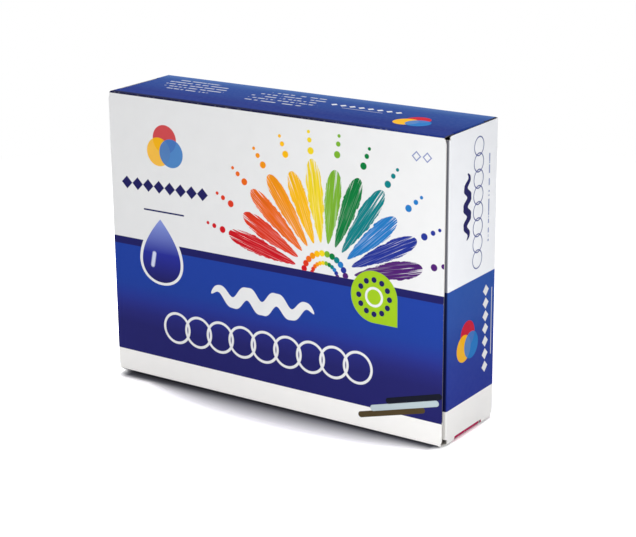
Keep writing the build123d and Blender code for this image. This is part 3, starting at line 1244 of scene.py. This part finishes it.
# %% Plastic and paint
def moulded_plastic(name, colour, alpha, rough):
    """Injection-moulded plastic: a fine mould grain and a slight cloudiness in its colour."""
    b = Bench(bpy.data.materials.new(name))
    spot = b.own_place()[0]
    tone = b.lay(colour, ink(255, 255, 255), b.clouds(spot, 0.12, 2.0, 0.0, 0.12))
    grain = b.node("Bump", {}, {"Strength": 0.6, "Distance": 0.02 * MM, "Height": b.noise(spot, 4.0)})
    roughness = b.clouds(spot, 0.8, 2.0, rough - 0.04, rough + 0.06)
    inputs = {"Base Color": tone, "Roughness": roughness, "Normal": grain, "Alpha": alpha}
    return b.finish(b.node("BsdfPrincipled", {}, inputs))


def wet_paint(name, colour):
    """Thick paint with pigment clouds and a thin wet film."""
    b = Bench(bpy.data.materials.new(name))
    spot = b.own_place()[0]
    tone = b.lay(colour, ink(20, 20, 24), b.clouds(spot, 0.2, 4.0, 0.0, 0.1))
    swirl = b.node("Bump", {}, {"Strength": 0.5, "Distance": 0.3 * MM, "Height": b.noise(spot, 0.3, 3.0)})
    inputs = {"Base Color": tone, "Roughness": 0.45, "Normal": swirl, "Coat Weight": 0.3}
    return b.finish(b.node("BsdfPrincipled", {}, inputs))


jar_alpha, jar_rough, lid_rough = 0.12, 0.22, 0.34
jar_plastic = moulded_plastic("jar_plastic", ink(232, 234, 236), jar_alpha, jar_rough)
for number, (colour_name, colour) in enumerate(paint_colours.items(), start=1):
    nodes[f"jar_{number:02d}"].material_slots[0].material = jar_plastic
    nodes[f"paint_{number:02d}"].material_slots[0].material = wet_paint(f"{colour_name}_paint", colour)
    lid_plastic = moulded_plastic(f"{colour_name}_lid", colour, 1.0, lid_rough)
    nodes[f"lid_{number:02d}"].material_slots[0].material = lid_plastic
print("finished", number, "jars with their paint and lids")

# %% [markdown]
# ## Floor and light
# A product photograph on white is lit softly from all round. What the camera sees of the floor is
# lifted until open floor is white, and a painted shadow darkens the floor under the box and just
# before and behind it, over its real shadow. The light that falls on the box isn't lifted.

# %% Floor
floor_radius = 6.0
shadow_middle, shadow_half_length = 8.0, 80.0
shadow_least, shadow_most = 4.0, 16.5  # how far the painted shadow reaches, at its ends and in its middle
shadow_sides = (-30.0, 30.0)           # it is longest before the box and shortest behind it
shadow_fade = 1.45
# painted shadow: the floor's seen colour goes from this dark core at the box to this edge tone
painted_shadow_core = (0.17, 0.17, 0.195, 1.0)
painted_shadow_edge = (1.42, 1.39, 1.41, 1.0)
lifted_beside = (2.4, 2.4, 2.4, 1.0)
floor_beside = (-5.0, 3.0)             # from the ends of the box
open_floor = (140.0, 450.0)            # from its middle


def floor_material():
    """A white floor with a painted shadow by the box, lifted to the eye, that runs into the white
    backdrop.
    """
    b = Bench(bpy.data.materials.new("white_floor"))
    spot, x, y, z = b.own_place()
    along = (x - shadow_middle) / shadow_half_length
    longest = b.between(y, *shadow_sides, shadow_most, shadow_least)
    shadow_reach = ((1.0 - along * along) * longest).most(shadow_least)
    ahead = ((abs(y) - back_high.y) / shadow_reach).held(0.0, 1.0) ** shadow_fade
    # painted shadow: the floor's colour darkens towards the box, deepest at its foot
    tone = b.lay(painted_shadow_core, painted_shadow_edge, ahead)
    tone = b.lay(tone, lifted_beside, b.between(abs(x) - closure_high.x, *floor_beside))
    lit = b.node("BsdfDiffuse", {}, {"Color": (0.86, 0.86, 0.87, 1.0)})
    lifted = b.node("BsdfDiffuse", {}, {"Color": tone})
    white = b.node("Emission", {}, {"Color": (1.0, 1.0, 1.0, 1.0), "Strength": 1.0})
    far_off = b.between(reach(x, y), *open_floor)
    eyed = b.node("MixShader", {}, {0: far_off, 1: lifted, 2: white})
    return b.finish(b.node("MixShader", {}, {0: b.seen(), 1: lit, 2: eyed}))


floor_mesh = bmesh.new()
bmesh.ops.create_circle(floor_mesh, cap_ends=True, radius=floor_radius, segments=64)
floor_data = bpy.data.meshes.new("floor")
floor_mesh.to_mesh(floor_data)
floor_mesh.free()
floor_data.materials.append(floor_material())
floor = add_object("floor", floor_data)
floor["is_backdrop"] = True
print("floor radius", floor_radius, "m")

# %% World
world = bpy.data.worlds.new("studio")
bpy.context.scene.world = world
b = Bench(world)
soft_light = b.node("Background", {}, {"Color": (0.97, 0.98, 1.0, 1.0), "Strength": 0.56})
white_wall = b.node("Background", {}, {"Color": (1.0, 1.0, 1.0, 1.0), "Strength": 1.0})
b.finish(b.node("MixShader", {}, {0: b.seen(), 1: soft_light, 2: white_wall}), "OutputWorld")
print("the world lights the box softly and shows as white")


# %% Lamps
def soft_lamp(name, place, size, power, tall=1.0):
    """A lamp that faces the middle of the box, square or taller than it is wide."""
    lamp_data = bpy.data.lights.new(name, "AREA")
    lamp_data.shape = "RECTANGLE"
    lamp_data.size = size
    lamp_data.size_y = size * tall
    lamp_data.energy = power
    lamp = add_object(name, lamp_data)
    lamp.location = place
    lamp.rotation_euler = (middle * MM - Vector(place)).to_track_quat("-Z", "Y").to_euler()
    lamp.visible_camera = False


soft_lamp("near_lamp", (0.168, -0.199, 0.100), 0.10, 0.168)
soft_lamp("end_lamp", (0.140, -0.045, 0.050), 0.02, 0.006, 7.0)
soft_lamp("front_lamp", (-0.476, -0.500, 0.378), 0.45, 0.7)
soft_lamp("high_lamp", (-0.10, 0.15, 0.90), 0.60, 4.2)
print("four lamps and a pale world")

# %% [markdown]
# ## The size of what shows
# The looks must not change the object's size, so the box of what shows is measured against the model's.

# %% Sizes
seen_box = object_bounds()
for label, box in (("cad", cad_box), ("visual", seen_box)):
    json.dumps({label: [list(corner) for corner in box]})
print("visual model minus model, in mm:", [round(v, 2) for v in (seen_box[1] - cad_box[1]) / MM])
